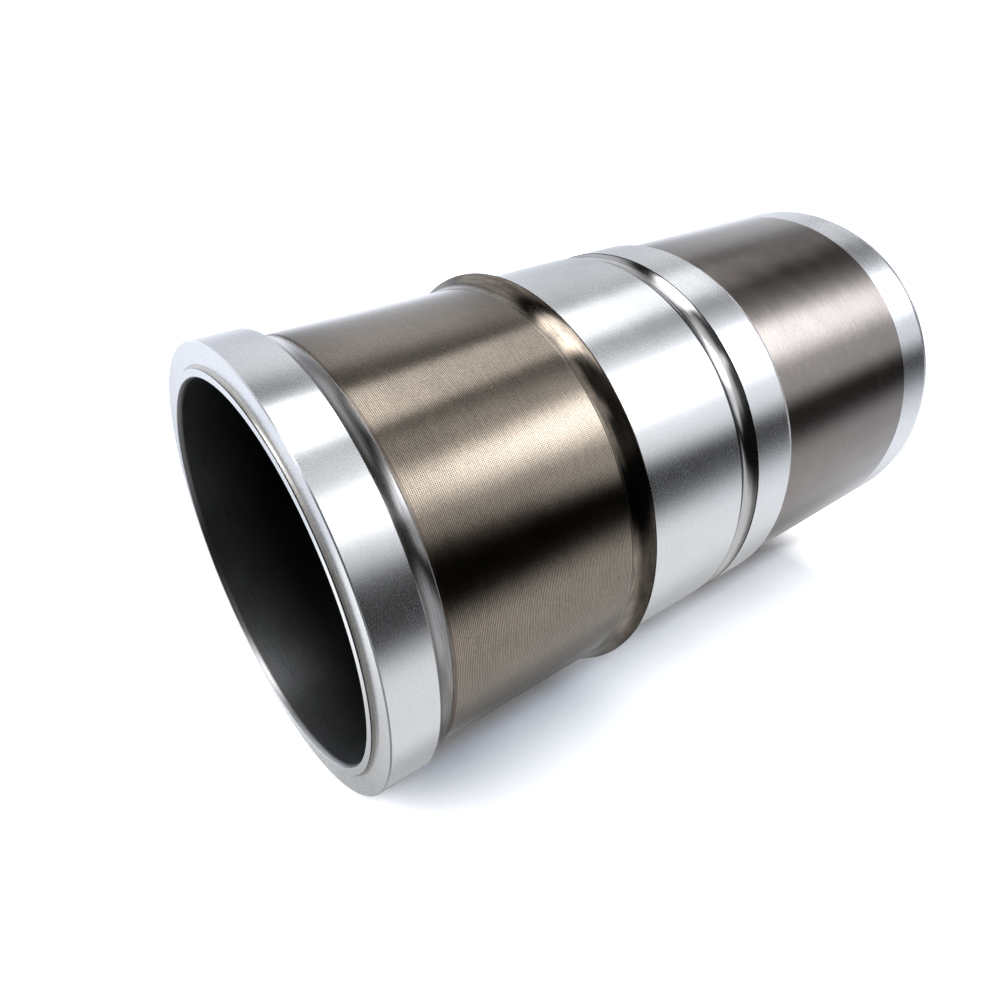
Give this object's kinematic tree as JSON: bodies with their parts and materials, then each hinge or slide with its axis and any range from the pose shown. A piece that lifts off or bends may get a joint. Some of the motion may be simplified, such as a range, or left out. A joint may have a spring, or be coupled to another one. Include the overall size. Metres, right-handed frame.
{
  "type": "cylinder liner",
  "caption": "Wet cylinder liner with a flanged top and fire ring, a mid-height stop and a seal groove, turned from one iron casting and honed inside.",
  "frame": {"origin": "centre of the foot face, on the bore axis, at the lower end on which the liner stands", "axes": "+Z along the bore axis, from the foot towards the flange and fire ring; the liner is round, so X and Y are free"},
  "size_m": [0.1516, 0.1516, 0.2732],
  "materials": {
    "liner_iron": "bright ground bands, brown-grey phosphate on the turned walls between them, honed bore"
  },
  "bodies": {
    "root": {"cylinder_liner": "liner_iron"}
  },
  "joints": []
}
